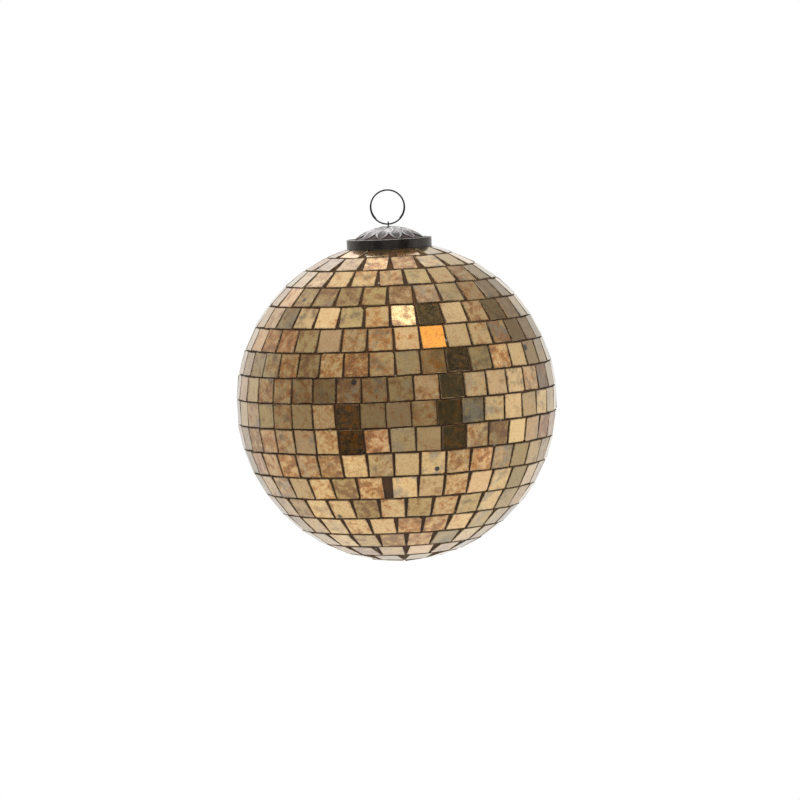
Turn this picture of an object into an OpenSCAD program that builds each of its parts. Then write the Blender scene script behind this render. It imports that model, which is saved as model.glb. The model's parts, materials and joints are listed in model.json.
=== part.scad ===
// Mirror-tile ball on a glass globe, hung from a petal cap by a split wire ring.
// The origin is at the inner top of the ring, where a hook bears. +Z is up and the ball hangs below.

/* [Ball] */
// Diameter of the ball across the faces of its mirror tiles
ball_d = 150; // [125:1:180]
// Wall thickness of the blown glass globe
globe_wall = 1.8; // [1.2:0.1:3]
// Wall thickness of the globe's neck
neck_wall = 2; // [1.2:0.1:3]
// Radial room between the neck and the foot of the cap's dome
neck_side_gap = 1.9; // [1:0.1:4]
// Room between the neck's rim and the inside of the dome
neck_top_gap = 0.9; // [0.4:0.1:3]

/* [Mirror tiles] */
// Width of a square mirror tile
tile_w = 11.4; // [8:0.1:14]
// Thickness of the mirror glass
tile_t = 1.5; // [1:0.1:2.5]
// Average gap between the tiles of one row
tile_gap = 0.35; // [0.3:0.05:1.5]
// Gap between two rows, or more where their backs need it
row_gap = 0.45; // [0.4:0.05:1.5]
// Smallest gap left between the backs of two tiles
back_gap = 0.2; // [0.1:0.05:0.5]
// Latitude of the first row's upper edge, before the cap trims it
first_row_lat = 75.8; // [74:0.1:78]
// Latitude of the last row's lower edge
last_row_lat = -86.3; // [-87:0.1:-85]
// How far the hand cutting takes a tile out of square
hand_cut = 0.4; // [0:0.05:0.6]
// How far a tile leans out of the surface of the ball, in degrees
hand_tilt = 1.2; // [0:0.1:2]
// Row with one wide gap in it
loose_row = 12; // [2:1:17]
// Extra width of that gap
loose_gap = 3.4; // [0:0.1:6]

/* [Grout] */
// Thickness of the adhesive between the globe and a tile's back
glue_t = 1; // [0.7:0.1:2]
// Depth of the grout joints below the tile faces
joint_depth = 0.55; // [0.3:0.05:0.9]

/* [Cap] */
// Outer diameter of the cap's skirt
cap_d = 40; // [33:0.5:46]
// Sheet thickness of the cap
cap_wall = 0.5; // [0.4:0.05:0.8]
// Height of the skirt
skirt_h = 4.8; // [4.5:0.1:7]
// Width of the flat ledge between the skirt and the dome
ledge_w = 3.1; // [1.5:0.1:3.4]
// Height of the dome above the ledge
dome_h = 5.75; // [4.5:0.05:8]
// Diameter of the rolled hem at the foot of the skirt
hem_d = 0.7; // [0.6:0.05:1]
// Diameter of the hole that the hanger wire passes through
cap_hole_d = 2.6; // [2.2:0.1:4]
// Clearance between the cap and the grout that it sits over
seat_gap = 0.2; // [0.1:0.05:0.5]

/* [Ring and hanger wire] */
// Outer diameter of the split ring
ring_d = 16.8; // [12:0.1:24]
// Diameter of the ring's wire
ring_wire_d = 0.75; // [0.6:0.05:1.2]
// Diameter of the hanger wire
hanger_wire_d = 0.7; // [0.5:0.05:0.8]
// Clearance between the ring's wire and the hanger's eye
eye_gap = 0.25; // [0.15:0.05:0.6]
// Gap between the ring and the top of the cap
ring_lift = 0.65; // [0.5:0.05:2]
// Depth that the spring legs reach below the neck's rim
leg_depth = 30; // [20:1:40]
// Clearance between a spring leg and the bore of the neck
leg_gap = 0.3; // [0.2:0.05:1]

/* [Hidden] */
$fn = 96;
row_count = 18;
fine_sides = 360;           // sides of the grout, a thin shell that follows the globe closely
wire_sides = 12;
wire_step = 9;              // degrees between two stations of a bent wire
// Longitude of one joint of each row, in degrees, from the front and towards +X
row_joint = [3, 0, 8, -2, -1, 0, 0, -3, -4, -3, -2, -5, 2, -3, 2, 2, 0, 0];
least_tiles = 4;
count_at = 0.35;            // place across a row, from its poleward edge, where the tiles are counted
corner_share = 0.35;        // share of the hand cutting that each corner takes by itself
lean_seed = 100;
cut_seed = 200;
tilt_seed = 300;
shift_seed = 400;
bottom_turn = 20;           // turn of the bottom tile, in degrees
over = 1;                   // how far a cut runs past the face that it opens

// Radii of the ball's layers
face_r = ball_d / 2;
back_r = face_r - tile_t;
globe_r = back_r - glue_t;
grout_r = face_r - joint_depth;

// Heights of the cap above the ball's centre
cap_r = cap_d / 2;
hem_r = hem_d / 2;
hem_bulge = 0.1;            // how far the hem stands out from the skirt
hem_gap = 0.1;              // gap between the hem and the first row, seen from above
seat_z = sqrt(pow(grout_r, 2) - pow(cap_r, 2)) + seat_gap;
ledge_z = seat_z + skirt_h;
apex_z = ledge_z + dome_h;
dome_base_r = cap_r - ledge_w;
dome_r = (pow(dome_base_r, 2) + pow(dome_h, 2)) / (2 * dome_h);
dome_z = apex_z - dome_r;

// Neck of the globe, fitted inside the cap
neck_r = dome_base_r - neck_side_gap;
neck_bore_r = neck_r - neck_wall;
neck_z = dome_z + sqrt(pow(dome_r - cap_wall, 2) - pow(neck_r, 2)) - neck_top_gap;

// Ring and eye, from the hook's seat down to the ball's centre
ring_wire_r = ring_wire_d / 2;
ring_r = ring_d / 2 - ring_wire_r;
ring_z = ring_wire_r - ring_r;
lay_gap = 0.03;             // gap between the two turns of the ring
ring_lay = ring_wire_d + lay_gap;
ring_start = -45;           // angle of the ring's first loose end
ring_end = 585;             // angle of its second loose end, a turn and three quarters further
ring_cross = 225;           // angle where the wire begins to cross to the second turn
ring_ease = 90;             // degrees that the crossing and each tuck take
ring_tuck = 0.3;            // how far a loose end of the ring lies inside the other turn
eye_z = ring_z - ring_r;
ball_z = eye_z - ring_wire_r - ring_lift - apex_z;
hanger_wire_r = hanger_wire_d / 2;
eye_r = ring_wire_r + eye_gap + hanger_wire_r;
eye_step = 15;              // degrees between two stations of the eye
shank_gap = 0.16;           // gap between the two sides of the shank
shank_run = 1.5;            // height that the shank runs on below the cap, and then flares over
shank_flare = 0.1;          // share of the legs' spread at the end of the flare
leg_y = (hanger_wire_d + shank_gap) / 2;
leg_spread = neck_bore_r - leg_gap - hanger_wire_r;
// Shape of a spring leg, as shares of its spread and of its depth below the neck's rim
leg_shape = [[0.8, 0.14], [0.95, 0.2], [1, 0.35], [0.97, 0.65], [0.85, 1]];

// Rows of tiles
row_arc = (first_row_lat - last_row_lat) / row_count;
cap_lat = acos((cap_r + hem_bulge + hem_gap) / face_r);
row_space = max(row_gap, back_gap + tile_t * rad(row_arc));  // room between two rows' faces

function rad(degrees) = degrees * PI / 180;
function row_name(row) = str("tile_row_", row < 10 ? "0" : "", row);
function row_line(row) = min(first_row_lat - row * row_arc, cap_lat);
// A flat tile's outer corners stand beyond its row's line; the row is cut back where they pass the gap
function corner_rise(latitude) = pow(tile_w, 2) / (8 * face_r * cos(latitude));
function corner_trim(latitude) = max(0, corner_rise(latitude) + back_gap - row_space) / (face_r * rad(1));
function row_upper(row) = row_line(row - 1) - (row_line(row - 1) < 0 ? corner_trim(row_line(row - 1)) : 0);
function row_lower(row) = row_line(row) + (row_line(row) > 0 ? corner_trim(row_line(row)) : 0);
function row_lat(row) = (row_upper(row) + row_lower(row)) / 2;
function row_h(row) = face_r * rad(row_upper(row) - row_lower(row)) - row_space;
function row_pole_lat(row) = max(abs(row_upper(row)), abs(row_lower(row)));
function row_girth(row) = 2 * PI * face_r * cos(row_pole_lat(row) - count_at * row_arc);
function row_spare(row) = row == loose_row ? loose_gap : 0;
function row_tiles(row) = max(
    least_tiles,
    floor((row_girth(row) - row_spare(row)) / (tile_w + tile_gap))
);
function row_spare_arc(row) = 360 * row_spare(row) / row_girth(row);
function row_slot(row) = (360 - row_spare_arc(row)) / row_tiles(row);
// Room for one edge of a tile's back between its neighbours
// side: 1 for the poleward edge, -1 for the other
function edge_r(row, side) = back_r * cos(row_lat(row)) - side * row_h(row) / 2 * sin(abs(row_lat(row)));
function edge_room(row, side) = 2 * edge_r(row, side) * tan(row_slot(row) / 2) - back_gap;
function edge_w(row, side) = min(tile_w, edge_room(row, side));

function unit(v) = v / norm(v);
function ease(t) = t <= 0 ? 0 : t >= 1 ? 1 : t * t * (3 - 2 * t);

// A round wire bent along a path. The path keeps roughly square to the side vector.
module bent_wire(path, wire_r, side) {
    last = len(path) - 1;
    rings = [
        for (k = [0 : last])
            let (
                along = unit(path[min(k + 1, last)] - path[max(k - 1, 0)]),
                across = unit(side - (side * along) * along),
                up = cross(along, across)
            )
            [for (s = [0 : wire_sides - 1])
                let (turn = 360 * s / wire_sides)
                path[k] + wire_r * (cos(turn) * across + sin(turn) * up)]
    ];
    walls = [
        for (k = [0 : last - 1], s = [0 : wire_sides - 1])
            let (a = k * wire_sides, b = a + wire_sides, next = (s + 1) % wire_sides)
            [a + s, b + s, b + next, a + next]
    ];
    start_face = [for (s = [0 : wire_sides - 1]) s];
    end_face = [for (s = [0 : wire_sides - 1]) last * wire_sides + wire_sides - 1 - s];
    polyhedron(points = [for (ring = rings) each ring], faces = concat([start_face], walls, [end_face]));
}

// Split ring: a coil of one and three quarter turns, with a single strand through the hanger's eye
module hanging_ring() {
    function lay(turn) = ring_lay * (ease((turn - ring_cross) / ring_ease) - 0.5);
    function free(turn) = ease((turn - ring_start) / ring_ease) * ease((ring_end - turn) / ring_ease);
    function tuck(turn) = ring_tuck * (1 - free(turn));
    path = [
        for (turn = [ring_start : wire_step : ring_end])
            let (r = ring_r - tuck(turn))
            [r * cos(turn), lay(turn), ring_z + r * sin(turn)]
    ];
    color("#3b3230") bent_wire(path, ring_wire_r, [0, 1, 0]);
}

// Hanger wire: an eye round the ring, a shank through the cap and two spring legs in the neck
module hanger_wire() {
    eye_mouth = asin(leg_y / eye_r);
    shank_z = ball_z + apex_z - cap_wall - shank_run;
    eye = [
        for (turn = [-90 + eye_mouth : eye_step : 270 - eye_mouth])
            [0, eye_r * cos(turn), eye_z + eye_r * sin(turn)]
    ];
    shank = [
        [0, leg_y, shank_z],
        [0, leg_y + shank_flare * leg_spread, shank_z - shank_run]
    ];
    bow = [for (share = leg_shape) [0, share[0] * leg_spread, ball_z + neck_z - share[1] * leg_depth]];
    leg = concat(shank, bow);
    near_leg = [for (k = [len(leg) - 1 : -1 : 0]) leg[k]];
    far_leg = [for (p = leg) [p.x, -p.y, p.z]];
    color("#3b3230") bent_wire(concat(near_leg, eye, far_leg), hanger_wire_r, [1, 0, 0]);
}

// Cap: one pressing with a domed crown, a flat ledge, a straight skirt and a rolled hem
module cap() {
    color("#4a403c")
    translate([0, 0, ball_z])
    difference() {
        union() {
            intersection() {
                translate([0, 0, dome_z]) sphere(r = dome_r);
                translate([0, 0, ledge_z - cap_wall]) cylinder(r = dome_base_r, h = dome_h + 2 * cap_wall);
            }
            translate([0, 0, seat_z + hem_r]) cylinder(r = cap_r, h = skirt_h - hem_r);
            translate([0, 0, seat_z + hem_r])
                rotate_extrude()
                    translate([cap_r + hem_bulge - hem_r, 0]) circle(d = hem_d);
        }
        intersection() {
            translate([0, 0, dome_z]) sphere(r = dome_r - cap_wall);
            translate([0, 0, ledge_z - 2 * cap_wall])
                cylinder(r = dome_base_r - cap_wall, h = dome_h + 2 * cap_wall);
        }
        translate([0, 0, seat_z - over]) cylinder(r = cap_r - cap_wall, h = skirt_h - cap_wall + over);
        cylinder(d = cap_hole_d, h = apex_z + over);
    }
}

// Globe: a hollow ball of blown glass with a short straight neck
module glass_globe() {
    color("#c9c2a8")
    translate([0, 0, ball_z])
    difference() {
        union() {
            sphere(r = globe_r);
            cylinder(r = neck_r, h = neck_z);
        }
        sphere(r = globe_r - globe_wall);
        cylinder(r = neck_bore_r, h = neck_z + over);
    }
}

// Outline of one hand-cut tile; the poleward edge is on the side that pole names, +1 up or -1 down
module tile_outline(near_w, far_w, height, pole, lean, cuts) {
    near = (near_w - lean) / 2;
    far = (far_w - lean) / 2;
    half = (height - lean) / 2;
    polygon([
        [-(far - cuts[0]), -pole * (half - cuts[1])],
        [far - cuts[2], -pole * (half - cuts[3])],
        [near - cuts[4], pole * (half - cuts[5])],
        [-(near - cuts[6]), pole * (half - cuts[7])]
    ]);
}

// Places a tile's face at a longitude and a latitude of the ball, square to the surface
module on_ball(longitude, latitude) {
    translate([0, 0, ball_z])
        rotate([0, 0, longitude])
            rotate([90 - latitude, 0, 0])
                translate([0, 0, face_r])
                    children();
}

// One row of flat square tiles, each cut and laid by hand
module tile_row(row) {
    count = row_tiles(row);
    height = row_h(row);
    pole = row_lat(row) >= 0 ? 1 : -1;
    leans = rands(-hand_cut, hand_cut, count, lean_seed + row);
    cuts = rands(0, corner_share * hand_cut, 8 * count, cut_seed + row);
    tilts = rands(-hand_tilt, hand_tilt, 2 * count, tilt_seed + row);
    shifts = rands(-1, 1, count, shift_seed + row);
    for (k = [0 : count - 1]) {
        slack = (edge_room(row, 1) - edge_w(row, 1)) / 2;
        longitude = row_joint[row - 1] + row_spare_arc(row) / 2 + (k + 0.5) * row_slot(row);
        on_ball(longitude, row_lat(row))
            translate([shifts[k] * slack, 0, 0])
                rotate([tilts[2 * k], tilts[2 * k + 1], asin(leans[k] / height)])
                    translate([0, 0, -tile_t])
                        linear_extrude(tile_t)
                            tile_outline(
                                edge_w(row, 1), edge_w(row, -1), height, pole, abs(leans[k]),
                                [for (c = [0 : 7]) cuts[8 * k + c]]
                            );
    }
}

module mirror_row(row) {
    color(row % 2 == 0 ? "#b59a62" : "#c2a872") tile_row(row);
}

// Small square tile at the bottom pole
module bottom_tile() {
    side = sqrt(2) * (face_r * cos(last_row_lat) - tile_gap / 2);
    color("#b59a62")
    on_ball(bottom_turn, -90)
        translate([0, 0, -tile_t / 2])
            cube([side, side, tile_t], center = true);
}

// Grout: one thin shell round the globe, with a pocket for every tile
module grout_bed() {
    color("#3a2a20")
    difference() {
        translate([0, 0, ball_z]) sphere(r = grout_r, $fn = fine_sides);
        translate([0, 0, ball_z]) sphere(r = globe_r, $fn = fine_sides);
        translate([0, 0, ball_z]) cylinder(r = neck_r, h = face_r);
        for (row = [1 : row_count]) tile_row(row);
        bottom_tile();
    }
}

hanging_ring();
hanger_wire();
cap();
glass_globe();
grout_bed();
for (row = [1 : row_count])
    mirror_row(row);
bottom_tile();
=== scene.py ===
import json
import math
import random

import bmesh
import bpy
from mathutils import Matrix, Vector, noise

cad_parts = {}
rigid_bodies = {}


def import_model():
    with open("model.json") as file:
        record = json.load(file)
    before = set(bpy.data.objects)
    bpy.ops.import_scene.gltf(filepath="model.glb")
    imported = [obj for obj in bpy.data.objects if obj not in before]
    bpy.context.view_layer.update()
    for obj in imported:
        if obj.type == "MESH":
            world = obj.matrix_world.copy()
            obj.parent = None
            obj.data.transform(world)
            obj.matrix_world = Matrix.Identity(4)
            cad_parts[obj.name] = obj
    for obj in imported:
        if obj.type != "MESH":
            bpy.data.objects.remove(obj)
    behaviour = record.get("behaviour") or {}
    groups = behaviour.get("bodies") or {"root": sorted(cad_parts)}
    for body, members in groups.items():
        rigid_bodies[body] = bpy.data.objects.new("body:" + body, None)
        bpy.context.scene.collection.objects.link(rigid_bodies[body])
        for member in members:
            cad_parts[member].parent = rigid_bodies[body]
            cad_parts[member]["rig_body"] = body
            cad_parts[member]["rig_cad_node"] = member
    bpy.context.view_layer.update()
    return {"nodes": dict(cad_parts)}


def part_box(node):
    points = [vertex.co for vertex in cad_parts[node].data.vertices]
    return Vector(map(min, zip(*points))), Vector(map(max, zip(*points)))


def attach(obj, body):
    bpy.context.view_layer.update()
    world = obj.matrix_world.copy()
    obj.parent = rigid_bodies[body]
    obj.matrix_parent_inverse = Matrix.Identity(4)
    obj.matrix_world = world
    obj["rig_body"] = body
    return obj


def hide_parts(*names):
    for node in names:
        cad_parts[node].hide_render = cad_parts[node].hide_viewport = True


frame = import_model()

print("frame loaded:", len(frame["nodes"]), "nodes")

# Where things are, from the frame
mm = 0.001
weldGap = 0.002 * mm        # corners closer than this are one corner
capLow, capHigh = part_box("cap")
globeLow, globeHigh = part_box("glass_globe")
globeRadius = (globeHigh.x - globeLow.x) / 2
ballCentre = Vector((0, 0, globeLow.z + globeRadius))
rowNames = sorted(name for name in frame["nodes"] if name.startswith("tile_row_"))


# Small helpers for modelling
def deselectAll():
    if bpy.context.object and bpy.context.object.mode != "OBJECT":
        bpy.ops.object.mode_set(mode="OBJECT")
    bpy.ops.object.select_all(action="DESELECT")


def makeActive(piece):
    deselectAll()
    piece.select_set(True)
    bpy.context.view_layer.objects.active = piece


def newPiece(name):  # names what a primitive has just added
    piece = bpy.context.object
    piece.name = name
    piece.data.name = name
    return piece


def settlePlace(piece):  # the object's place goes into its mesh
    makeActive(piece)
    bpy.ops.object.transform_apply(location=True, rotation=True, scale=True)


def applyAll(piece):
    makeActive(piece)
    for modifier in list(piece.modifiers):
        bpy.ops.object.modifier_apply(modifier=modifier.name)


def editMode(piece, kind, chosen):  # opens a piece with only the chosen verts, edges or faces selected
    makeActive(piece)
    bpy.ops.object.mode_set(mode="EDIT")
    bpy.ops.mesh.select_mode(type=kind)
    bpy.ops.mesh.select_all(action="DESELECT")
    mesh = bmesh.from_edit_mesh(piece.data)
    items = {"VERT": mesh.verts, "EDGE": mesh.edges, "FACE": mesh.faces}[kind]
    items.ensure_lookup_table()
    for item in items:
        if chosen(item):
            item.select_set(True)
    mesh.select_flush_mode()
    bmesh.update_edit_mesh(piece.data)


def objectMode():
    bpy.ops.object.mode_set(mode="OBJECT")


def copyNode(node, name):  # a merged copy of a CAD node's loose triangles
    piece = frame["nodes"][node].copy()
    piece.data = frame["nodes"][node].data.copy()
    piece.name = name
    piece.data.name = name
    piece.parent = None
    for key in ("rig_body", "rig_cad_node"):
        del piece[key]
    bpy.context.scene.collection.objects.link(piece)
    piece.data.materials.clear()
    editMode(piece, "VERT", lambda vert: True)
    bpy.ops.mesh.remove_doubles(threshold=weldGap)
    objectMode()
    return piece


def smoothByAngle(piece, degrees):
    makeActive(piece)
    bpy.ops.object.shade_smooth_by_angle(angle=math.radians(degrees))


def arc(radius, height, size, start, end, steps):  # stations (radius, height) along an arc, in degrees
    turns = [math.radians(start + (end - start) * k / steps) for k in range(steps + 1)]
    return [(radius + size * math.cos(t), height + size * math.sin(t)) for t in turns]


def turnLoops(name, stations, sides):  # a turned wall, its loops extruded from station to station
    deselectAll()
    radius, height = stations[0]
    bpy.ops.mesh.primitive_circle_add(vertices=sides, radius=radius, location=(0, 0, height))
    piece = newPiece(name)
    settlePlace(piece)
    editMode(piece, "EDGE", lambda edge: True)
    for (fromRadius, fromHeight), (toRadius, toHeight) in zip(stations, stations[1:]):
        step = (0, 0, toHeight - fromHeight)
        bpy.ops.mesh.extrude_region_move(TRANSFORM_OT_translate={"value": step})
        grow = toRadius / fromRadius
        bpy.ops.transform.resize(value=(grow, grow, 1), center_override=(0, 0, toHeight))
    return piece


def fixNormals(piece):
    editMode(piece, "FACE", lambda face: True)
    bpy.ops.mesh.normals_make_consistent(inside=False)
    objectMode()


def copyPiece(piece, name, turn):  # a copy with its own mesh, turned about the ball's axis
    twin = piece.copy()
    twin.data = piece.data.copy()
    twin.name = name
    twin.data.name = name
    bpy.context.scene.collection.objects.link(twin)
    twin.data.transform(Matrix.Rotation(turn, 4, "Z"))
    return twin


# Small helpers for materials
def addNode(tree, kind, **settings):
    node = tree.nodes.new(kind)
    for key, value in settings.items():
        setattr(node, key, value)
    return node


def feed(tree, socket, value):  # a wire from another socket, or a fixed value
    if isinstance(value, bpy.types.NodeSocket):
        tree.links.new(value, socket)
    else:
        socket.default_value = value


def maths(tree, operation, first, second=0.0, clamp=False):
    node = addNode(tree, "ShaderNodeMath", operation=operation, use_clamp=clamp)
    feed(tree, node.inputs[0], first)
    feed(tree, node.inputs[1], second)
    return node.outputs[0]


def times(tree, first, second, clamp=False):
    return maths(tree, "MULTIPLY", first, second, clamp)


def plus(tree, first, second, clamp=False):
    return maths(tree, "ADD", first, second, clamp)


def rampTo(tree, value, low, high, toLow=0.0, toHigh=1.0):  # a soft step from low to high
    node = addNode(tree, "ShaderNodeMapRange", interpolation_type="SMOOTHSTEP")
    for socket, given in zip(node.inputs, (value, low, high, toLow, toHigh)):
        feed(tree, socket, given)
    return node.outputs[0]


def between(tree, share, low, high):  # low where the share is 0, high where it is 1
    return rampTo(tree, share, 0.0, 1.0, low, high)


def mixColours(tree, share, first, second):
    node = addNode(tree, "ShaderNodeMix", data_type="RGBA")
    feed(tree, node.inputs["Factor"], share)
    for place, colour in ((6, first), (7, second)):  # the node's two colour inputs
        wired = isinstance(colour, bpy.types.NodeSocket)
        feed(tree, node.inputs[place], colour if wired else (*colour, 1))
    return node.outputs[2]


def attribute(tree, name, output="Fac"):
    return addNode(tree, "ShaderNodeAttribute", attribute_name=name).outputs[output]


def millimetres(tree):  # Object coordinates in millimetres
    place = addNode(tree, "ShaderNodeTexCoord")
    mapping = addNode(tree, "ShaderNodeMapping")
    mapping.inputs["Scale"].default_value = (1 / mm, 1 / mm, 1 / mm)
    tree.links.new(place.outputs["Object"], mapping.inputs["Vector"])
    return mapping.outputs["Vector"]


def newGroup(name, inputs, outputs):
    tree = bpy.data.node_groups.new(name, "ShaderNodeTree")
    kinds = {"Vector": "NodeSocketVector"}
    for label, value in inputs.items():
        socket = tree.interface.new_socket(
            name=label, in_out="INPUT", socket_type=kinds.get(label, "NodeSocketFloat"))
        if value is not None:
            socket.default_value = value
    for label in outputs:
        tree.interface.new_socket(name=label, in_out="OUTPUT", socket_type="NodeSocketFloat")
    return tree, addNode(tree, "NodeGroupInput").outputs, addNode(tree, "NodeGroupOutput").inputs


def useGroup(tree, group, **values):  # places a group; Cover=0.4 feeds its input named Cover
    node = addNode(tree, "ShaderNodeGroup", node_tree=group)
    for label, value in values.items():
        feed(tree, node.inputs[label], value)
    return node.outputs


def newMaterial(name):
    material = bpy.data.materials.new(name)
    material.use_nodes = True
    return material, material.node_tree, material.node_tree.nodes["Principled BSDF"]


def addBump(tree, shader, height, strength, distance):
    bump = addNode(tree, "ShaderNodeBump")
    bump.inputs["Strength"].default_value = strength
    bump.inputs["Distance"].default_value = distance
    tree.links.new(height, bump.inputs["Height"])
    tree.links.new(bump.outputs["Normal"], shader.inputs["Normal"])


# Effects that several finishes share
def buildCloudStain():  # soft cloudy patches; Cover is about the share of the surface they take
    tree, inputs, outputs = newGroup(
        "cloudStain", {"Vector": None, "Scale": 0.1, "Cover": 0.5, "Softness": 0.1}, ["Mask"])
    cloud = addNode(tree, "ShaderNodeTexNoise")
    cloud.inputs["Detail"].default_value = 6
    cloud.inputs["Roughness"].default_value = 0.62
    tree.links.new(inputs["Vector"], cloud.inputs["Vector"])
    tree.links.new(inputs["Scale"], cloud.inputs["Scale"])
    level = maths(tree, "SUBTRACT", 0.72, times(tree, inputs["Cover"], 0.44))
    low = maths(tree, "SUBTRACT", level, inputs["Softness"])
    high = plus(tree, level, inputs["Softness"])
    tree.links.new(rampTo(tree, cloud.outputs[0], low, high), outputs["Mask"])
    return tree


def buildRoundSpots():  # scattered round spots; Share of the cells hold one, Size is its reach
    tree, inputs, outputs = newGroup(
        "roundSpots", {"Vector": None, "Scale": 1.0, "Size": 0.4, "Share": 0.5}, ["Mask"])
    cells = addNode(tree, "ShaderNodeTexVoronoi")
    tree.links.new(inputs["Vector"], cells.inputs["Vector"])
    tree.links.new(inputs["Scale"], cells.inputs["Scale"])
    dice = addNode(tree, "ShaderNodeSeparateColor")
    tree.links.new(cells.outputs["Color"], dice.inputs[0])
    there = maths(tree, "LESS_THAN", dice.outputs[0], inputs["Share"])
    reach = times(tree, inputs["Size"], plus(tree, dice.outputs[1], 0.4))
    spot = rampTo(tree, cells.outputs["Distance"], times(tree, reach, 0.6), reach, 1.0, 0.0)
    tree.links.new(times(tree, spot, there), outputs["Mask"])
    return tree


def buildHandledMetal():  # uneven gloss and a fine grain from handling
    tree, inputs, outputs = newGroup(
        "handledMetal", {"Vector": None, "Scale": 0.5, "Gloss": 0.3, "Spread": 0.2},
        ["Roughness", "Height"])
    smear = addNode(tree, "ShaderNodeTexNoise")
    smear.inputs["Detail"].default_value = 4
    tree.links.new(inputs["Vector"], smear.inputs["Vector"])
    tree.links.new(inputs["Scale"], smear.inputs["Scale"])
    grain = addNode(tree, "ShaderNodeTexNoise")
    grain.inputs["Scale"].default_value = 6
    grain.inputs["Detail"].default_value = 2
    tree.links.new(inputs["Vector"], grain.inputs["Vector"])
    uneven = times(tree, maths(tree, "SUBTRACT", smear.outputs[0], 0.5), inputs["Spread"])
    fine = times(tree, maths(tree, "SUBTRACT", grain.outputs[0], 0.5), 0.12)
    both = plus(tree, uneven, fine)
    tree.links.new(plus(tree, inputs["Gloss"], both, clamp=True), outputs["Roughness"])
    height = plus(tree, smear.outputs[0], times(tree, grain.outputs[0], 0.5))
    tree.links.new(height, outputs["Height"])
    return tree


cloudStain = buildCloudStain()
roundSpots = buildRoundSpots()
handledMetal = buildHandledMetal()

# Antiqued mirror: worn silver behind clear glass, with rust that creeps in from the edges
silver = {
    "champagne": (0.86, 0.62, 0.29),
    "olive": (0.50, 0.37, 0.14),
    "pinkish": (0.78, 0.51, 0.29),
    "amber": (0.55, 0.205, 0.027),
    "umber": (0.33, 0.165, 0.036),
    "rust": (0.15, 0.05, 0.012),
    "greyBloom": (0.31, 0.30, 0.245),
    "smoke": (0.085, 0.070, 0.050),
    "blackSpot": (0.020, 0.014, 0.009),
    "rimBrown": (0.12, 0.055, 0.020),
    "groundGlass": (0.34, 0.27, 0.16),
    "edgeDirt": (0.085, 0.052, 0.030),
    # how much of each layer shows, always and with the layer it follows
    "blotCover": 0.85,
    "coreShrink": 0.24,
    "grainShows": (0.27, 0.35),
    "hazeShows": 0.6,
    "blotsShow": 0.5,
    "specksShow": (0.2, 0.7),
    "coresShow": 0.6,
    "rimFall": 2.5,
    "rimShows": (0.25, 0.6),
    # what the wear does to the shine
    "wornAmber": 0.3,
    "wornFleck": 0.3,
    "wornRim": 0.4,
    "metal": 0.985,
    "metalLoss": 0.55,
    "gloss": 0.12,
    "mottleDull": 0.05,
    "wornDull": 0.3,
    "edgeRoughness": (0.18, 0.5),
}


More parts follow.
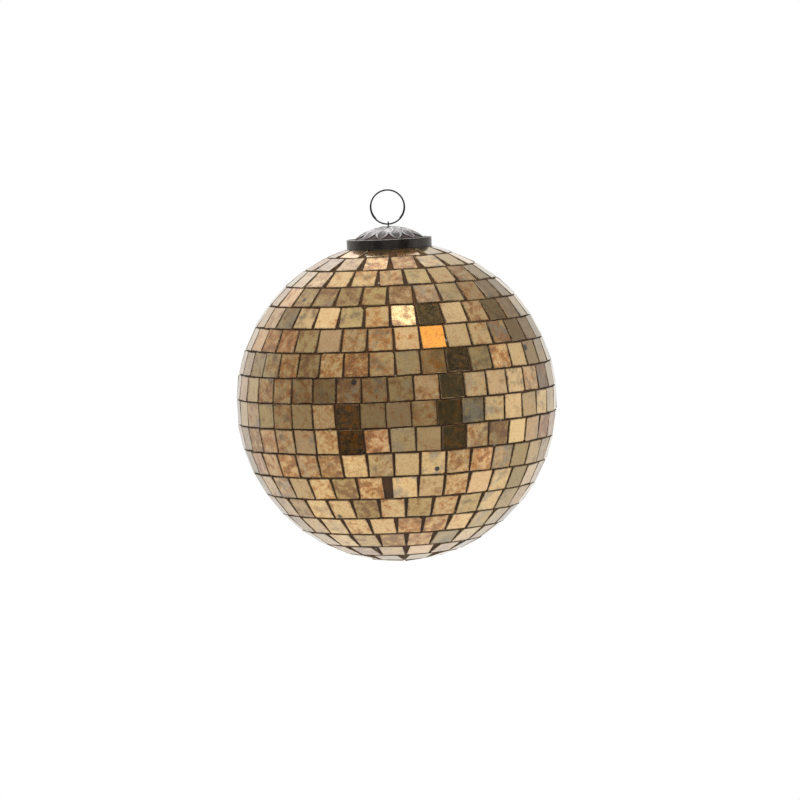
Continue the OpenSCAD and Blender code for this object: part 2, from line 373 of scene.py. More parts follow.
def buildAntiqueMirror():
    material, tree, shader = newMaterial("antiqueMirror")
    place = addNode(tree, "ShaderNodeVectorMath", operation="ADD")
    tree.links.new(millimetres(tree), place.inputs[0])
    tree.links.new(attribute(tree, "tileSeed", "Vector"), place.inputs[1])
    where = place.outputs[0]
    rust = attribute(tree, "tileRust")

    # The silver itself, and where it has gone grey or smoky
    tint = mixColours(tree, attribute(tree, "tileOlive"), silver["champagne"], silver["olive"])
    tint = mixColours(tree, attribute(tree, "tilePink"), tint, silver["pinkish"])
    bloom = useGroup(tree, cloudStain, Vector=where, Scale=0.11, Cover=0.4, Softness=0.08)["Mask"]
    bloom = times(tree, bloom, attribute(tree, "tileBloom"))
    tint = mixColours(tree, bloom, tint, silver["greyBloom"])
    smoke = useGroup(tree, cloudStain, Vector=where, Scale=0.2, Cover=0.34, Softness=0.13)["Mask"]
    smoke = times(tree, smoke, attribute(tree, "tileSmoke"))
    tint = mixColours(tree, smoke, tint, silver["smoke"])

    # Amber blots with rusty cores, in a thinner speckled cloud with a fine grain
    cover = times(tree, rust, silver["blotCover"])
    coreCover = maths(tree, "SUBTRACT", cover, silver["coreShrink"])
    clouds = useGroup(tree, cloudStain, Vector=where, Scale=0.12, Cover=rust, Softness=0.1)["Mask"]
    mottle = useGroup(tree, cloudStain, Vector=where, Scale=0.75, Cover=0.45, Softness=0.12)["Mask"]
    blots = useGroup(tree, cloudStain, Vector=where, Scale=0.27, Cover=cover, Softness=0.07)["Mask"]
    cores = useGroup(
        tree, cloudStain, Vector=where, Scale=0.27, Cover=coreCover, Softness=0.08)["Mask"]
    specks = useGroup(tree, roundSpots, Vector=where, Scale=1.3, Size=0.31, Share=0.7)["Mask"]
    grain = useGroup(tree, cloudStain, Vector=where, Scale=1.2, Cover=0.42, Softness=0.09)["Mask"]
    always, withRust = silver["grainShows"]
    grain = times(tree, grain, plus(tree, times(tree, rust, withRust), always))
    haze = times(tree, times(tree, clouds, mottle), silver["hazeShows"])
    haze = maths(tree, "MAXIMUM", haze, grain)
    blots = times(tree, blots, plus(tree, haze, silver["blotsShow"]), clamp=True)
    amber = maths(tree, "MAXIMUM", haze, blots)
    stain = mixColours(tree, attribute(tree, "tileOlive"), silver["amber"], silver["umber"])
    colour = mixColours(tree, amber, tint, stain)
    always, withClouds = silver["specksShow"]
    fleck = times(tree, specks, plus(tree, times(tree, clouds, withClouds), always))
    fleck = times(tree, fleck, rust)
    fleck = maths(tree, "MAXIMUM", fleck, times(tree, cores, silver["coresShow"]))
    colour = mixColours(tree, fleck, colour, silver["rust"])

    # Black spots, and brown that creeps in from the rim
    rim = maths(tree, "POWER", attribute(tree, "tileRim"), silver["rimFall"])
    always, withMottle = silver["rimShows"]
    edge = times(tree, rim, plus(tree, times(tree, mottle, withMottle), always), clamp=True)
    colour = mixColours(tree, edge, colour, silver["rimBrown"])
    spots = useGroup(tree, roundSpots, Vector=where, Scale=0.125, Size=0.2, Share=0.24)["Mask"]
    spots = times(tree, spots, attribute(tree, "tileSpot"))
    colour = mixColours(tree, spots, colour, silver["blackSpot"])
    shade = addNode(tree, "ShaderNodeHueSaturation")
    tree.links.new(colour, shade.inputs["Color"])
    tree.links.new(attribute(tree, "tileTone"), shade.inputs["Value"])
    tree.links.new(shade.outputs[0], shader.inputs["Base Color"])

    # Worn places shine less
    worn = times(tree, amber, silver["wornAmber"])
    worn = plus(tree, worn, times(tree, fleck, silver["wornFleck"]))
    wornRim = times(tree, edge, silver["wornRim"])
    worn = maths(tree, "MAXIMUM", worn, maths(tree, "MAXIMUM", spots, wornRim))
    loss = times(tree, worn, silver["metalLoss"])
    metal = maths(tree, "SUBTRACT", silver["metal"], loss, clamp=True)
    tree.links.new(metal, shader.inputs["Metallic"])
    dull = times(tree, mottle, silver["mottleDull"])
    dull = plus(tree, dull, times(tree, worn, silver["wornDull"]))
    tree.links.new(plus(tree, dull, silver["gloss"]), shader.inputs["Roughness"])
    shader.inputs["Coat Weight"].default_value = 1.0
    shader.inputs["Coat Roughness"].default_value = 0.05
    shader.inputs["Coat IOR"].default_value = 1.5
    wave = addNode(tree, "ShaderNodeTexNoise")
    wave.inputs["Scale"].default_value = 0.09
    wave.inputs["Detail"].default_value = 1
    tree.links.new(where, wave.inputs["Vector"])
    addBump(tree, shader, wave.outputs[0], 0.35, 0.4 * mm)
    return material


def buildTileEdge():  # ground glass edge, with a dirty grain
    material, tree, shader = newMaterial("tileEdge")
    where = millimetres(tree)
    dirt = useGroup(tree, cloudStain, Vector=where, Scale=0.7, Cover=0.55, Softness=0.12)["Mask"]
    colour = mixColours(tree, dirt, silver["groundGlass"], silver["edgeDirt"])
    tree.links.new(colour, shader.inputs["Base Color"])
    tree.links.new(between(tree, dirt, *silver["edgeRoughness"]), shader.inputs["Roughness"])
    shader.inputs["Coat Weight"].default_value = 0.6
    shader.inputs["Coat Roughness"].default_value = 0.15
    nicks = useGroup(tree, roundSpots, Vector=where, Scale=1.6, Size=0.4, Share=0.35)["Mask"]
    addBump(tree, shader, nicks, 0.5, 0.08 * mm)
    return material


antiqueMirror = buildAntiqueMirror()
tileEdge = buildTileEdge()

# Mirror tiles: squares of mirror glass, cut by hand, with a few chipped corners
mirrorTiles = {
    # size of a chip, and the share of the corners that have one
    "chips": ((0.45 * mm, 0.16), (0.8 * mm, 0.07), (1.3 * mm, 0.025)),
    "groundEdge": 0.13 * mm,
    "rimWidth": 0.75 * mm,
    "silverSlope": 0.5,     # faces that look out more than this show the silver
    "faceSlope": 0.93,      # and more than this are a tile's mirror face
    "flatAngle": 0.3,       # degrees between triangles of one flat face
    "wholeSide": 6 * mm,    # smaller tiles, and shorter edges, are left unchipped
    "shortEdge": 1.4 * mm,
    "seam": 2.9,            # radians round to a joint of the first row
    # how the tiles differ
    "rustSide": Vector((-0.85, -0.45, 0.05)),  # the side that took the most damp
    "rust": (0.18, 0.45, 0.4, 0.15),           # base, by damp, by patch, and spread
    "rustLimits": (0.25, 0.85),
    "patchScale": 2.6,
    "tone": (0.62, 1.1, 0.95),                 # darkest, brightest and most common
    "oliveFrom": 0.62,                         # a lower draw is only a tinge
    "oliveTinge": 0.15,
    "pinkMost": 0.7,
    "blooms": (0, 0, 0, 0.4, 0.8),
    "smokes": (0, 0, 0, 0.45, 0.8),
    "seedReach": 400,                          # millimetres between their patterns, at most
    "seed": 7,
}


def outness(face):  # 1 where a face looks straight away from the ball's centre
    return face.normal.dot((face.calc_center_median() - ballCentre).normalized())


def outward(face):  # true for a tile's mirror face
    return outness(face) > mirrorTiles["faceSlope"]


def tileParts(mesh):  # the faces of each tile, in order round the ball
    for face in mesh.faces:
        face.tag = False
    parts = []
    for start in mesh.faces:
        if start.tag:
            continue
        start.tag = True
        part = [start]
        for face in part:
            for edge in face.edges:
                for near in edge.link_faces:
                    if not near.tag:
                        near.tag = True
                        part.append(near)
        parts.append(part)
    return sorted(parts, key=lambda part: bearing(tileCentre(part)))


def tileCentre(part):
    return max(part, key=lambda face: face.calc_area()).calc_center_median() - ballCentre


def bearing(point):  # starts its count between two tiles of the first row
    return (math.atan2(point.x, -point.y) + mirrorTiles["seam"]) % (2 * math.pi)


def chipCorners(piece, dice):
    for size, share in mirrorTiles["chips"]:
        def chipped(edge):
            mirrors = [face for vert in edge.verts for face in vert.link_faces if outward(face)]
            standing = not any(outward(face) for face in edge.link_faces)
            whole = len(mirrors) == 1 and mirrors[0].calc_area() > mirrorTiles["wholeSide"] ** 2
            if not (standing and whole):
                return False
            shortest = min(near.calc_length() for vert in edge.verts for near in vert.link_edges)
            return shortest > mirrorTiles["shortEdge"] and dice.random() < share
        editMode(piece, "EDGE", chipped)
        bpy.ops.mesh.bevel(offset=size, segments=1, affect="EDGES")
        objectMode()


def writeTileLooks(piece, dice):  # what makes each tile its own
    mesh = bmesh.new()
    mesh.from_mesh(piece.data)
    layers = mesh.faces.layers
    names = ("tileTone", "tileRust", "tileOlive", "tilePink", "tileBloom", "tileSmoke", "tileSpot")
    looks = {name: layers.float.new(name) for name in names}
    seed = layers.float_vector.new("tileSeed")
    rim = mesh.verts.layers.float.new("tileRim")
    base, byDamp, byPatch, spread = mirrorTiles["rust"]
    leastRust, mostRust = mirrorTiles["rustLimits"]
    for part in tileParts(mesh):
        centre = tileCentre(part).normalized()
        damp = 0.5 + 0.5 * centre.dot(mirrorTiles["rustSide"])
        patch = noise.noise(centre * mirrorTiles["patchScale"])
        olive = dice.random()
        tone = dice.triangular(*mirrorTiles["tone"])
        rust = base + byDamp * damp + byPatch * patch + dice.gauss(0, spread)
        tinge = mirrorTiles["oliveTinge"] * olive
        values = {
            "tileTone": tone,
            "tileRust": min(mostRust, max(leastRust, rust)),
            "tileOlive": olive if olive > mirrorTiles["oliveFrom"] else tinge,
            "tilePink": mirrorTiles["pinkMost"] * dice.random() ** 3,
            "tileBloom": dice.choice(mirrorTiles["blooms"]),
            "tileSmoke": dice.choice(mirrorTiles["smokes"]),
            "tileSpot": dice.choice((0, 1)),
        }
        place = Vector([dice.uniform(0, mirrorTiles["seedReach"]) for axis in range(3)])
        for face in part:
            face[seed] = place
            for name, value in values.items():
                face[looks[name]] = value
    for face in mesh.faces:
        face.material_index = 0 if outness(face) > mirrorTiles["silverSlope"] else 1
    for vert in mesh.verts:
        vert[rim] = 0.0 if all(outward(face) for face in vert.link_faces) else 1.0
    mesh.to_mesh(piece.data)
    mesh.free()


def makeTiles(node, number):
    dice = random.Random(mirrorTiles["seed"] * 100 + number)
    name = node.replace("tile_row_", "mirrorRow").replace("bottom_tile", "mirrorBottom")
    piece = copyNode(node, name)
    editMode(piece, "FACE", lambda face: True)
    bpy.ops.mesh.dissolve_limited(angle_limit=math.radians(mirrorTiles["flatAngle"]))
    objectMode()
    chipCorners(piece, dice)
    editMode(piece, "EDGE", lambda edge: any(outward(face) for face in edge.link_faces))
    bpy.ops.mesh.bevel(offset=mirrorTiles["groundEdge"], segments=1, affect="EDGES")
    objectMode()
    editMode(piece, "FACE", outward)
    bpy.ops.mesh.inset(thickness=mirrorTiles["rimWidth"], use_individual=True)
    objectMode()
    writeTileLooks(piece, dice)
    piece.data.materials.append(antiqueMirror)
    piece.data.materials.append(tileEdge)
    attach(piece, "globe")
    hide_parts(node)
    return piece


tilePieces = [makeTiles(node, number) for number, node in enumerate(rowNames + ["bottom_tile"])]
print("mirror tiles cut:", sum(len(piece.data.polygons) for piece in tilePieces), "faces")

# Grout: dark brown paste in the joints
grout = {
    "damp": (0.045, 0.021, 0.008),
    "dry": (0.100, 0.046, 0.017),
    "sand": (0.21, 0.125, 0.060),
    # pale specks that stand for light caught by chips of mirror in the grout: painted highlights
    "chipGlint": (0.42, 0.37, 0.31),
    "sandShows": 0.35,
    "roughness": (0.72, 0.9),
}


def buildGroutPaste():
    material, tree, shader = newMaterial("groutPaste")
    where = millimetres(tree)
    dry = useGroup(tree, cloudStain, Vector=where, Scale=0.12, Cover=0.5, Softness=0.12)["Mask"]
    sand = useGroup(tree, roundSpots, Vector=where, Scale=2.6, Size=0.42, Share=0.3)["Mask"]
    colour = mixColours(tree, dry, grout["damp"], grout["dry"])
    colour = mixColours(tree, times(tree, sand, grout["sandShows"]), colour, grout["sand"])
    # painted glints: rare pale specks painted in where chips of mirror in the grout would catch the
    # light
    chipGlints = useGroup(tree, roundSpots, Vector=where, Scale=0.55, Size=0.42, Share=0.025)["Mask"]
    colour = mixColours(tree, chipGlints, colour, grout["chipGlint"])
    tree.links.new(colour, shader.inputs["Base Color"])
    tree.links.new(between(tree, dry, *grout["roughness"]), shader.inputs["Roughness"])
    lumps = addNode(tree, "ShaderNodeTexNoise")
    lumps.inputs["Scale"].default_value = 0.9
    lumps.inputs["Detail"].default_value = 5
    tree.links.new(where, lumps.inputs["Vector"])
    height = plus(tree, lumps.outputs[0], times(tree, sand, 0.2))
    addBump(tree, shader, height, 0.8, 0.4 * mm)
    return material


groutPaste = buildGroutPaste()
groutNode = frame["nodes"]["grout_bed"]
groutNode.data.materials.clear()
groutNode.data.materials.append(groutPaste)
print("grout coloured")

# Glass globe: blown glass with a short neck, its rim fire-polished round
glassGlobe = {
    "wall": 1.8 * mm,
    "neckRadius": 15.0 * mm,
    "neckWall": 2.0 * mm,
    "neckFillet": 2.0 * mm,
    "poleAngle": 89.5,      # degrees; the last ring of points before the pole
    "poleReach": 1 * mm,    # and the points this near the pole close to one
    "wallSteps": 48,
    "filletSteps": 6,
    "rimSteps": 8,
    "sides": 96,
    "clear": (0.93, 0.92, 0.86),
    "dusty": (0.80, 0.77, 0.68),
    "roughness": (0.03, 0.14),
    "smoothTo": 40,         # degrees
}


def buildGlobeGlass():
    material, tree, shader = newMaterial("globeGlass")
    where = millimetres(tree)
    dust = useGroup(tree, cloudStain, Vector=where, Scale=0.2, Cover=0.45, Softness=0.2)["Mask"]
    seeds = useGroup(tree, roundSpots, Vector=where, Scale=0.4, Size=0.14, Share=0.25)["Mask"]
    colour = mixColours(tree, dust, glassGlobe["clear"], glassGlobe["dusty"])
    tree.links.new(colour, shader.inputs["Base Color"])
    tree.links.new(between(tree, dust, *glassGlobe["roughness"]), shader.inputs["Roughness"])
    shader.inputs["Transmission Weight"].default_value = 1.0
    shader.inputs["IOR"].default_value = 1.5
    addBump(tree, shader, seeds, 0.3, 0.15 * mm)
    return material


def makeGlobe():
    wall, neck = glassGlobe["wall"], glassGlobe["neckRadius"]
    bore = neck - glassGlobe["neckWall"]
    inner = globeRadius - wall
    rim = glassGlobe["neckWall"] / 2
    fillet = glassGlobe["neckFillet"]
    start = -glassGlobe["poleAngle"]
    steps = glassGlobe["wallSteps"]
    filletR = neck + fillet
    foot = math.sqrt((globeRadius + fillet) ** 2 - filletR ** 2)
    lean = math.degrees(math.atan2(foot, filletR))
    innerTop = math.degrees(math.acos(bore / inner))
    z = ballCentre.z
    stations = arc(0, z, globeRadius, start, lean, steps)
    stations += arc(filletR, z + foot, fillet, lean + 180, 180, glassGlobe["filletSteps"])[1:]
    stations += arc(neck - rim, globeHigh.z - rim, rim, 0, 180, glassGlobe["rimSteps"])
    stations += arc(0, z, inner, innerTop, start, steps)
    piece = turnLoops("glassGlobe", stations, glassGlobe["sides"])
    objectMode()
    for low in (z - globeRadius, z - inner):
        pole = Vector((0, 0, low))
        editMode(piece, "VERT", lambda vert: (vert.co - pole).length < glassGlobe["poleReach"])
        bpy.ops.mesh.merge(type="CENTER")
        objectMode()
    fixNormals(piece)
    smoothByAngle(piece, glassGlobe["smoothTo"])
    piece.data.materials.append(buildGlobeGlass())
    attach(piece, "globe")
    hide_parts("glass_globe")
    return piece


makeGlobe()
print("globe blown")

# Cap: a dark pressing with a crown of overlapping petals
capPiece = {
    "wall": 0.5 * mm,
    "skirtHeight": 4.8 * mm,
    "ledge": 3.1 * mm,
    "domeHeight": 5.75 * mm,
    "hole": 1.3 * mm,
    "hem": 0.35 * mm,
    "lip": 0.22 * mm,
    "sink": 0.35 * mm,      # how far the ground between the petals lies below the crown
    "inset": 0.1 * mm,      # how far the skirt stands back from its hem
    "shelfDrop": 0.7,       # the shelf round the crown below the lip's top, in lips
    "crownFoot": 0.4 * mm,  # where the shelf ends, out from the crown
    "sides": 144,
    "hemRoll": (-150, 60, 9),   # from and to in degrees, and steps
    "lipRoll": (-10, 170, 8),
    "crownSteps": (22, 16),     # outside and inside
    "petalSteps": 12,
    "leafRoot": 0.62,       # a leaf's width at its root and tip, with 1 at its widest
    "leafTip": 0.03,
    "leafTaper": 0.75,
    "weld": 0.004 * mm,
    "smoothTo": 32,         # degrees
    # where a point counts as crown or lip, and how high counts as fully raised
    "crownSlack": (0.02 * mm, 0.3 * mm),
    "lipSlack": 0.05 * mm,
    "lipRaised": 0.85,
    "fullHeight": 0.42 * mm,
    # root and tip radius, half width, height, how many, turn of the first in degrees
    "tiers": (
        (8.2 * mm, 16.5 * mm, 3.1 * mm, 0.34 * mm, 12, 15),
        (3.6 * mm, 12.6 * mm, 2.9 * mm, 0.46 * mm, 12, 0),
        (1.5 * mm, 7.0 * mm, 2.1 * mm, 0.52 * mm, 8, 8),
    ),
}
capBronze = {
    "recess": ((0.022, 0.012, 0.012), (0.060, 0.026, 0.022)),
    "skirt": ((0.030, 0.025, 0.023), (0.052, 0.043, 0.037)),
    "lowLeaf": ((0.050, 0.038, 0.040), (0.115, 0.098, 0.104)),
    "highLeaf": ((0.19, 0.19, 0.205), (0.44, 0.44, 0.47)),
    "leafRise": (3.6, 1.5),      # the leaves brighten between these depths, in millimetres
    "rubbed": (0.62, 0.60, 0.62),
    "pit": (0.02, 0.012, 0.010),
    "pitShows": 0.5,
    "leafFrom": (0.05, 0.4),     # how raised a point is where leaf takes over from ground
    "rubbedFrom": (0.62, 0.95),  # and where the metal is rubbed bright
    "rubbedShows": (1.0, 0.7),   # on clean and on stained metal
    "metal": (0.72, 0.95),
}
skirtRadius = (capHigh.x - capLow.x) / 2 - capPiece["inset"]
crownBase = skirtRadius - capPiece["ledge"]
crownRadius = (crownBase ** 2 + capPiece["domeHeight"] ** 2) / (2 * capPiece["domeHeight"])
crownCentre = capHigh.z - crownRadius


def crownHeight(radius, size=crownRadius):  # height of the crown at a distance from its axis
    return crownCentre + math.sqrt(size ** 2 - radius ** 2)


def buildCapBronze():
    material, tree, shader = newMaterial("capBronze")
    where = millimetres(tree)
    raised = attribute(tree, "raised")
    metal = useGroup(tree, handledMetal, Vector=where, Scale=0.45, Gloss=0.27, Spread=0.4)
    stain = useGroup(tree, cloudStain, Vector=where, Scale=0.35, Cover=0.5, Softness=0.14)["Mask"]
    pits = useGroup(tree, roundSpots, Vector=where, Scale=1.3, Size=0.35, Share=0.3)["Mask"]
    recess = mixColours(tree, stain, *capBronze["recess"])
    skirt = mixColours(tree, stain, *capBronze["skirt"])
    ground = mixColours(tree, attribute(tree, "crown"), skirt, recess)
    height = addNode(tree, "ShaderNodeSeparateXYZ")
    tree.links.new(where, height.inputs[0])
    riseFrom, riseTo = (capHigh.z / mm - depth for depth in capBronze["leafRise"])
    lowLeaf = mixColours(tree, stain, *capBronze["lowLeaf"])
    highLeaf = mixColours(tree, stain, *capBronze["highLeaf"])
    leaf = mixColours(tree, rampTo(tree, height.outputs[2], riseFrom, riseTo), lowLeaf, highLeaf)
    colour = mixColours(tree, rampTo(tree, raised, *capBronze["leafFrom"]), ground, leaf)
    rubbed = rampTo(tree, raised, *capBronze["rubbedFrom"])
    rubbed = times(tree, rubbed, between(tree, stain, *capBronze["rubbedShows"]))
    colour = mixColours(tree, rubbed, colour, capBronze["rubbed"])
    pits = times(tree, pits, capBronze["pitShows"])
    colour = mixColours(tree, pits, colour, capBronze["pit"])
    tree.links.new(colour, shader.inputs["Base Color"])
    tree.links.new(between(tree, rubbed, *capBronze["metal"]), shader.inputs["Metallic"])
    tree.links.new(metal["Roughness"], shader.inputs["Roughness"])
    shader.inputs["Coat Weight"].default_value = 0.25
    shader.inputs["Coat Roughness"].default_value = 0.2
    addBump(tree, shader, metal["Height"], 0.35, 0.08 * mm)
    return material


def makePetal(root, tip, halfWidth, height):  # a ribbed leaf with a raised rim, extruded to its tip
    section = ((-1, -1.1), (-1, 0.25), (-0.8, 1), (-0.45, 0.5), (0, 0.8),
               (0.45, 0.5), (0.8, 1), (1, 0.25), (1, -1.1))
    steps = capPiece["petalSteps"]
    ground = crownHeight(root) - capPiece["sink"]
    deselectAll()
    bpy.ops.mesh.primitive_circle_add(vertices=len(section), radius=1 * mm, fill_type="NGON")
    petal = newPiece("petal")
    for vert, (across, up) in zip(petal.data.vertices, section):
        vert.co = (across * halfWidth * leafWidth(0), -root, ground + up * height)
    editMode(petal, "FACE", lambda face: True)
    for k in range(steps):
        near, far = root + (tip - root) * k / steps, root + (tip - root) * (k + 1) / steps
        drop = crownHeight(far) - crownHeight(near)
        bpy.ops.mesh.extrude_region_move(TRANSFORM_OT_translate={"value": (0, near - far, drop)})
        grow = leafWidth((k + 1) / steps) / leafWidth(k / steps)
        foot = (0, -far, crownHeight(far) - capPiece["sink"])
        bpy.ops.transform.resize(value=(grow, 1, 1), center_override=foot)
    objectMode()
    fixNormals(petal)
    return petal


def leafWidth(along):  # widest half way along
    root, tip, taper = (capPiece[key] for key in ("leafRoot", "leafTip", "leafTaper"))
    if along < 0.5:
        return root + (1 - root) * math.sin(along * math.pi)
    return max(tip, math.sin(along * math.pi) ** taper)


def capStations():  # from the hem up the skirt, over the lip and the crown, and back inside
    outer = skirtRadius
    wall, hem, lip, sink = (capPiece[key] for key in ("wall", "hem", "lip", "sink"))
    foot, ledge = capLow.z, capLow.z + capPiece["skirtHeight"]
    shelf = ledge - capPiece["shelfDrop"] * lip
    inside = crownRadius - wall - sink
    holeTurn = math.degrees(math.acos(capPiece["hole"] / (crownRadius - sink)))
    baseTurn = math.degrees(math.acos(crownBase / (crownRadius - sink)))
    innerBase = crownBase - wall
    innerTurn = math.degrees(math.acos(innerBase / inside))
    skirtFoot = foot + 2.6 * hem
    outSteps, inSteps = capPiece["crownSteps"]
    stations = arc(outer + capPiece["inset"] - hem, foot + hem, hem, *capPiece["hemRoll"])
    stations += [(outer, foot + 2.1 * hem), (outer, skirtFoot), (outer, ledge - 3 * lip)]
    stations += arc(outer - lip, ledge - 0.2 * lip, lip * 1.05, *capPiece["lipRoll"])
    stations += [(outer - 2.6 * lip, shelf), (crownBase + capPiece["crownFoot"], shelf)]
    stations += arc(0, crownCentre, crownRadius - sink, baseTurn, holeTurn, outSteps)
    stations += [(capPiece["hole"], crownHeight(capPiece["hole"], inside))]
    stations += arc(0, crownCentre, inside, holeTurn, innerTurn, inSteps)
    stations += [(innerBase, shelf - wall), (outer - wall, shelf - wall)]
    stations += [(outer - wall, skirtFoot)]
    return stations


def makeCap():
    piece = turnLoops("petalCap", capStations(), capPiece["sides"])
    bpy.ops.mesh.select_all(action="DESELECT")
    bpy.ops.mesh.select_non_manifold()
    bpy.ops.mesh.bridge_edge_loops()
    objectMode()
    fixNormals(piece)
    for root, tip, halfWidth, height, count, first in capPiece["tiers"]:
        petal = makePetal(root, tip, halfWidth, height)
        turns = [math.radians(first + 360 * k / count) for k in range(count)]
        ring = [copyPiece(petal, f"petal{k}", turn) for k, turn in enumerate(turns)]
        bpy.data.objects.remove(petal)
        for one in ring:
            unite(piece, one)
    editMode(piece, "VERT", lambda vert: True)
    bpy.ops.mesh.remove_doubles(threshold=capPiece["weld"])
    objectMode()
    writeRelief(piece)
    smoothByAngle(piece, capPiece["smoothTo"])
    piece.data.materials.clear()
    piece.data.materials.append(buildCapBronze())
    for face in piece.data.polygons:
        face.material_index = 0
    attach(piece, "cap")
    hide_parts("cap")
    return piece


def writeRelief(piece):  # how raised each point is, and whether it is on the crown
    level = piece.data.attributes.new("raised", "FLOAT", "POINT")
    crown = piece.data.attributes.new("crown", "FLOAT", "POINT")
    shoulder = capLow.z + capPiece["skirtHeight"]
    below, beside = capPiece["crownSlack"]
    tops, crowns = [], []
    for vert in piece.data.vertices:
        reach = vert.co.xy.length
        high = math.hypot(reach, vert.co.z - crownCentre) - (crownRadius - capPiece["sink"])
        onCrown = vert.co.z > shoulder - below and reach < crownBase + beside
        onLip = not onCrown and vert.co.z > shoulder - capPiece["lipSlack"]
        offCrown = capPiece["lipRaised"] if onLip else 0.0
        tops.append(min(1, max(0, high / capPiece["fullHeight"])) if onCrown else offCrown)
        crowns.append(1.0 if onCrown else 0.0)
    level.data.foreach_set("value", tops)
    crown.data.foreach_set("value", crowns)


def unite(piece, other):
    makeActive(piece)
    union = piece.modifiers.new("union", "BOOLEAN")
    union.operation = "UNION"
    union.solver = "MANIFOLD"
    union.object = other
    bpy.ops.object.modifier_apply(modifier=union.name)
    bpy.data.objects.remove(other)


makeCap()
print("cap pressed")

# Wire: dark drawn steel, with paler rubs and a little rust
wire = {
    "dark": (0.028, 0.023, 0.024),
    "rubbed": (0.048, 0.042, 0.044),
    "rust": (0.12, 0.05, 0.025),
    "rustShows": 0.5,
    "metal": (0.6, 0.3),
}


def buildDarkWire():
    material, tree, shader = newMaterial("darkWire")
    where = millimetres(tree)
    metal = useGroup(tree, handledMetal, Vector=where, Scale=0.6, Gloss=0.68, Spread=0.3)
    bare = useGroup(tree, cloudStain, Vector=where, Scale=0.5, Cover=0.32, Softness=0.1)["Mask"]
    rustSpots = useGroup(tree, roundSpots, Vector=where, Scale=0.9, Size=0.4, Share=0.22)["Mask"]
    colour = mixColours(tree, bare, wire["dark"], wire["rubbed"])
    colour = mixColours(tree, times(tree, rustSpots, wire["rustShows"]), colour, wire["rust"])
    tree.links.new(colour, shader.inputs["Base Color"])
    tree.links.new(between(tree, rustSpots, *wire["metal"]), shader.inputs["Metallic"])
    tree.links.new(metal["Roughness"], shader.inputs["Roughness"])
    shader.inputs["Specular IOR Level"].default_value = 0.3
    addBump(tree, shader, metal["Height"], 0.3, 0.04 * mm)
    return material


darkWire = buildDarkWire()


def makeWire(node, name, body):
    piece = copyNode(node, name)
    editMode(piece, "FACE", lambda face: True)
    bpy.ops.mesh.tris_convert_to_quads()
    objectMode()
    rounder = piece.modifiers.new("rounder", "SUBSURF")
    rounder.levels = 1
    rounder.render_levels = 1
    applyAll(piece)
    makeActive(piece)
    bpy.ops.object.shade_smooth()
    piece.data.materials.append(darkWire)
    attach(piece, body)
    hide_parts(node)
    return piece


makeWire("hanging_ring", "splitRing", "ring")
makeWire("hanger_wire", "springHanger", "hanger")
print("wires bent")

# Studio: pale floor, soft light, and the dark and bright things that a mirror finds in a room
studio = {
    "floorDrop": 1.25,
    "floorSize": 3.0,
    "floorSides": 96,
    "floorColours": ((0.86, 0.85, 0.83), (0.82, 0.81, 0.79)),
    "cardDistance": 1.6,
    # name, bearing from the front towards +X, elevation, width and height, all in degrees,
    # then colour and strength
    "cards": (
        ("darkFlag", 43, 3, 26, 80, (0.020, 0.027, 0.032), 1.0),
        ("lowFlag", -34, -14, 21, 36, (0.008, 0.014, 0.022), 1.0),
        ("topFlag", 53, 61, 20, 20, (0.045, 0.055, 0.06), 1.0),
        ("skyBox", 8, 62, 18, 18, (0.90, 0.95, 1.0), 2.6),
        ("warmLamp", 35, 42, 13, 13, (1.0, 0.55, 0.14), 1.7),
    ),
    # soft corners of the room: bearing, elevation, cosine of their reach, change in brightness
    "corners": ((138, 32, 0.78, -0.55), (-168, 40, 0.9, 0.5)),
    # name, place from the ball, size, energy, colour
    "lights": (
        ("keyLight", (-1.1, -1.3, 1.5), 0.9, 22, (1.0, 0.96, 0.9)),
        ("fillLight", (1.6, -1.0, 0.7), 1.2, 12, (0.95, 0.97, 1.0)),
        ("rimLight", (0.5, 1.8, 0.9), 1.2, 16, (1.0, 1.0, 1.0)),
    ),
    "dimSide": (-12, 12),   # bearing and elevation of the dimmest side of the room
    # for each: from and to, and the brightness there
    "room": (-0.7, 0.95, 0.83, 0.46),
    "ceiling": (0.35, 0.9, 0.0, 0.35),
    "ground": (-0.9, -0.1, 0.32, 0.0),
    "patches": (0.35, 0.65, -0.14, 0.14),
    "backdrop": (1, 1, 1, 1),
    "surround": (1.0, 0.985, 0.95, 1),
}


def glowMaterial(name, colour, strength):
    material, tree, shader = newMaterial(name)
    shader.inputs["Base Color"].default_value = (0, 0, 0, 1)
    shader.inputs["Roughness"].default_value = 1.0
    shader.inputs["Specular IOR Level"].default_value = 0.0
    shader.inputs["Emission Color"].default_value = (*colour, 1)
    shader.inputs["Emission Strength"].default_value = strength
    return material


def aim(bearingDegrees, elevationDegrees):
    side, up = math.radians(bearingDegrees), math.radians(elevationDegrees)
    return Vector((math.sin(side) * math.cos(up), -math.cos(side) * math.cos(up), math.sin(up)))


def spanOf(degrees):  # how long a card is that looks this wide from the ball
    return 2 * studio["cardDistance"] * math.tan(math.radians(degrees / 2))


def makeCard(name, side, up, width, height, colour, strength):
    away = studio["cardDistance"]
    direction = aim(side, up)
    deselectAll()
    bpy.ops.mesh.primitive_plane_add(size=1, location=ballCentre + direction * away)
    card = newPiece(name)
    card.rotation_euler = direction.to_track_quat("Z", "Y").to_euler()
    card.scale = (spanOf(width), spanOf(height), 1)
    card.data.materials.append(glowMaterial(name, colour, strength))
    card.visible_camera = False
    card.visible_shadow = False
    card.visible_diffuse = False


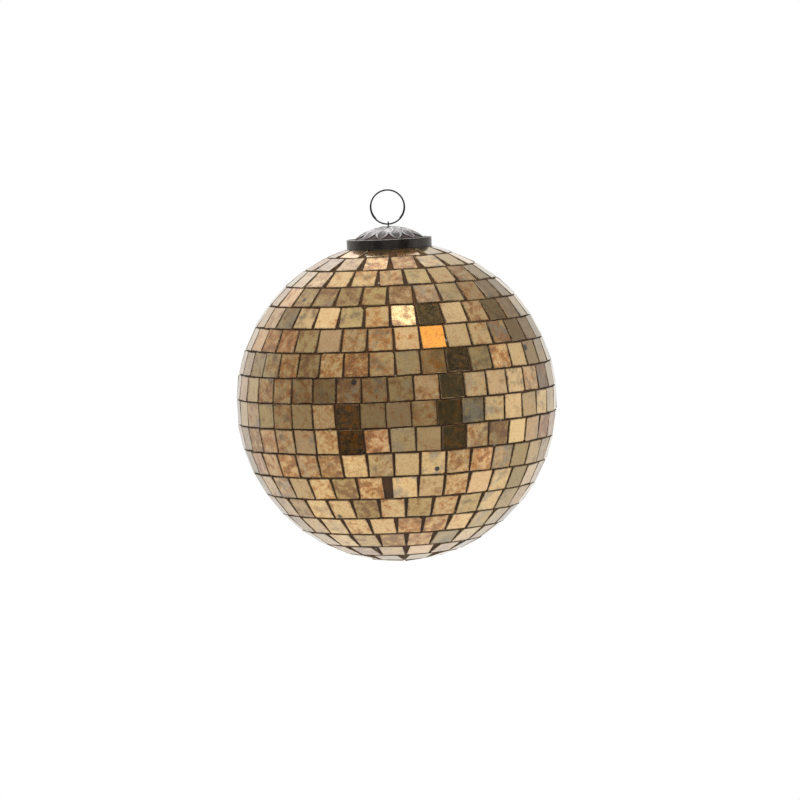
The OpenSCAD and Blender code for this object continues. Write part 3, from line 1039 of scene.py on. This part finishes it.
def makeFloor():
    deselectAll()
    low = ballCentre - Vector((0, 0, studio["floorDrop"]))
    bpy.ops.mesh.primitive_circle_add(
        vertices=studio["floorSides"], radius=studio["floorSize"], location=low, fill_type="NGON")
    floor = newPiece("studioFloor")
    material, tree, shader = newMaterial("paleFloor")
    where = millimetres(tree)
    scuff = useGroup(tree, cloudStain, Vector=where, Scale=0.003, Cover=0.4, Softness=0.3)["Mask"]
    colour = mixColours(tree, scuff, *studio["floorColours"])
    tree.links.new(colour, shader.inputs["Base Color"])
    shader.inputs["Roughness"].default_value = 0.8
    floor.data.materials.append(material)


def makeLight(name, place, size, energy, colour):
    bpy.ops.object.light_add(type="AREA", location=ballCentre + Vector(place))
    light = bpy.context.object
    light.name = name
    light.data.size = size
    light.data.energy = energy
    light.data.color = colour
    light.visible_glossy = False
    light.rotation_euler = Vector(place).to_track_quat("Z", "Y").to_euler()


def makeWorld():
    world = bpy.data.worlds.new("studioWorld")
    bpy.context.scene.world = world
    world.use_nodes = True
    tree = world.node_tree
    tree.nodes.clear()
    looking = addNode(tree, "ShaderNodeTexCoord").outputs["Generated"]
    front = addNode(tree, "ShaderNodeVectorMath", operation="DOT_PRODUCT")
    tree.links.new(looking, front.inputs[0])
    front.inputs[1].default_value = aim(*studio["dimSide"])
    height = addNode(tree, "ShaderNodeSeparateXYZ")
    tree.links.new(looking, height.inputs[0])
    room = rampTo(tree, front.outputs["Value"], *studio["room"])
    ceiling = rampTo(tree, height.outputs[2], *studio["ceiling"])
    ground = rampTo(tree, height.outputs[2], *studio["ground"])
    patches = addNode(tree, "ShaderNodeTexNoise")
    patches.inputs["Scale"].default_value = 1.6
    patches.inputs["Detail"].default_value = 3
    tree.links.new(looking, patches.inputs["Vector"])
    uneven = rampTo(tree, patches.outputs[0], *studio["patches"])
    level = plus(tree, plus(tree, room, ceiling), plus(tree, ground, uneven))
    for side, up, reach, change in studio["corners"]:
        corner = addNode(tree, "ShaderNodeVectorMath", operation="DOT_PRODUCT")
        tree.links.new(looking, corner.inputs[0])
        corner.inputs[1].default_value = aim(side, up)
        level = plus(tree, level, rampTo(tree, corner.outputs["Value"], reach, 1.0, 0.0, change))
    backdrop = addNode(tree, "ShaderNodeBackground")
    backdrop.inputs["Color"].default_value = studio["backdrop"]
    surround = addNode(tree, "ShaderNodeBackground")
    surround.inputs["Color"].default_value = studio["surround"]
    tree.links.new(level, surround.inputs["Strength"])
    choice = addNode(tree, "ShaderNodeMixShader")
    rays = addNode(tree, "ShaderNodeLightPath")
    tree.links.new(rays.outputs["Is Camera Ray"], choice.inputs[0])
    tree.links.new(surround.outputs[0], choice.inputs[1])
    tree.links.new(backdrop.outputs[0], choice.inputs[2])
    output = addNode(tree, "ShaderNodeOutputWorld")
    tree.links.new(choice.outputs[0], output.inputs["Surface"])


makeFloor()
for card in studio["cards"]:
    makeCard(*card)
for light in studio["lights"]:
    makeLight(*light)
makeWorld()
print("studio lit")

# Camera: a long lens, a little above the ball and slightly tilted
view = {
    "sensor": 36,           # millimetres
    "distance": 2.0,
    "elevation": 4.0,
    "width": 0.377,         # how wide the picture is at the ball
    "tilt": -2.7,
    "aimRight": 1.6 * mm,
    "aimUp": 0.47 * mm,
}


def makeCamera():
    direction = aim(0, view["elevation"])
    bpy.ops.object.camera_add(location=ballCentre + direction * view["distance"])
    camera = bpy.context.object
    facing = direction.to_track_quat("Z", "Y").to_matrix()
    camera.location += facing @ Vector((view["aimRight"], view["aimUp"], 0))
    turned = facing @ Matrix.Rotation(math.radians(view["tilt"]), 3, "Z")
    camera.rotation_euler = turned.to_euler()
    camera.data.sensor_width = view["sensor"]
    camera.data.lens = camera.data.sensor_width * view["distance"] / view["width"]
    bpy.context.scene.camera = camera


makeCamera()
bpy.context.scene.view_settings.view_transform = "Standard"
